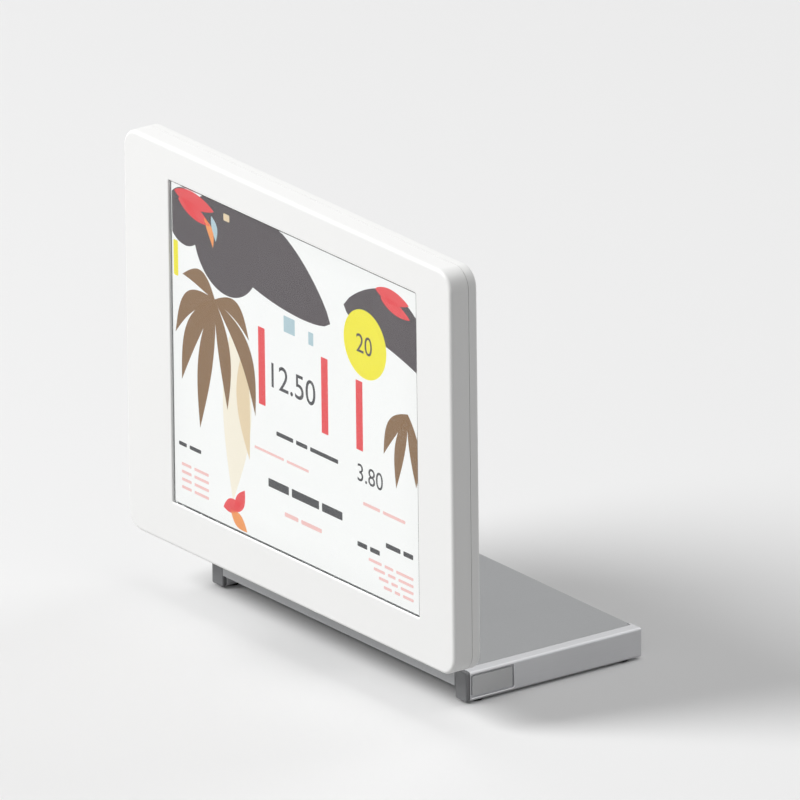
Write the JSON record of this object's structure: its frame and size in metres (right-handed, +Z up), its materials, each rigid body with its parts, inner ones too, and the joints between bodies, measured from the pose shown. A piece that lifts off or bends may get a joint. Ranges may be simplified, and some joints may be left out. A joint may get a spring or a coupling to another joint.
{
  "type": "customer display",
  "caption": "Flat customer-facing screen on a friction tilt hinge, carried by a short neck on a low, wide weighted stand, with push keys and sockets at the back.",
  "frame": {"origin": "on the counter, under the middle of the whole display", "axes": "+X along the screen width to the viewer's right, +Y from the screen face towards its back, +Z up; the screen faces -Y"},
  "size_m": [0.296, 0.146, 0.257],
  "materials": {
    "white_housing": "fine satin texture, moulded",
    "clear_lens": "polished clear cover glass",
    "lcd_glass": "lit liquid crystal cell",
    "optical_film": "pearl white film",
    "clear_acrylic": "polished acrylic",
    "plain_steel": "zinc plated",
    "powder_coat": "fine grey powder coat",
    "dark_coat": "matt dark coat",
    "plain_aluminium": "satin anodised",
    "grey_plastic": "fine texture, moulded",
    "dark_plastic": "matt, moulded",
    "black_plastic": "matt, moulded",
    "circuit_board": "green solder mask",
    "amber_film": "amber flexible film",
    "black_rubber": "matt soft rubber"
  },
  "bodies": {
    "stand": {"ballast_bar": "dark_coat", "end_cap_left": "dark_plastic", "end_cap_right": "dark_plastic", "foot_cover": "grey_plastic", "friction_washer_left": "black_plastic", "friction_washer_right": "black_plastic", "hinge_axle": "plain_steel", "hinge_cap_left": "grey_plastic", "hinge_cap_right": "grey_plastic", "hinge_nut": "plain_steel", "neck_bracket": "powder_coat", "neck_cover": "grey_plastic", "neck_screw_1": "plain_steel", "neck_screw_2": "plain_steel", "neck_screw_3": "plain_steel", "neck_screw_4": "plain_steel", "rail_inlay_left": "grey_plastic", "rail_inlay_right": "grey_plastic", "rubber_foot_front_left": "black_rubber", "rubber_foot_front_right": "black_rubber", "rubber_foot_rear_left": "black_rubber", "rubber_foot_rear_right": "black_rubber", "side_rail_left": "plain_aluminium", "side_rail_right": "plain_aluminium", "spring_washer": "plain_steel", "stand_plate": "powder_coat"},
    "head": {"bracket_screw_1": "plain_steel", "bracket_screw_2": "plain_steel", "bracket_screw_3": "plain_steel", "bracket_screw_4": "plain_steel", "control_board": "circuit_board", "dc_socket": "black_plastic", "display_ribbon": "amber_film", "front_bezel": "white_housing", "head_bracket": "powder_coat", "housing_screw_1": "plain_steel", "housing_screw_2": "plain_steel", "housing_screw_3": "plain_steel", "housing_screw_4": "plain_steel", "inner_frame": "plain_steel", "key_board": "circuit_board", "lcd_cell": "lcd_glass", "lcd_chassis": "plain_aluminium", "lcd_clamp": "plain_steel", "led_strip": "optical_film", "lens_glass": "clear_lens", "lens_tape": "black_rubber", "light_guide": "clear_acrylic", "optical_sheets": "optical_film", "rear_cover": "white_housing", "reflector_sheet": "optical_film", "spacer_tube": "plain_aluminium", "stop_pin": "plain_steel", "usb_socket": "black_plastic", "video_socket": "black_plastic"},
    "key_power": {"key_power": "grey_plastic"},
    "key_menu": {"key_menu": "grey_plastic"},
    "key_minus": {"key_minus": "grey_plastic"},
    "key_plus": {"key_plus": "grey_plastic"},
    "key_source": {"key_source": "grey_plastic"}
  },
  "joints": [
    {"name": "screen_tilt", "type": "hinge", "parent": "stand", "child": "head", "pos_m": [0, -0.03, 0.126], "axis": [-1, 0, 0], "range_deg": [-5, 20]},
    {"name": "key_power_press", "type": "slide", "parent": "head", "child": "key_power", "axis": [0, -1, 0], "range_m": [0, 0.0008], "stiffness_N_per_m": 300, "springref_m": -0.001},
    {"name": "key_menu_press", "type": "slide", "parent": "head", "child": "key_menu", "axis": [0, -1, 0], "range_m": [0, 0.0008], "stiffness_N_per_m": 300, "springref_m": -0.001},
    {"name": "key_minus_press", "type": "slide", "parent": "head", "child": "key_minus", "axis": [0, -1, 0], "range_m": [0, 0.0008], "stiffness_N_per_m": 300, "springref_m": -0.001},
    {"name": "key_plus_press", "type": "slide", "parent": "head", "child": "key_plus", "axis": [0, -1, 0], "range_m": [0, 0.0008], "stiffness_N_per_m": 300, "springref_m": -0.001},
    {"name": "key_source_press", "type": "slide", "parent": "head", "child": "key_source", "axis": [0, -1, 0], "range_m": [0, 0.0008], "stiffness_N_per_m": 300, "springref_m": -0.001}
  ]
}
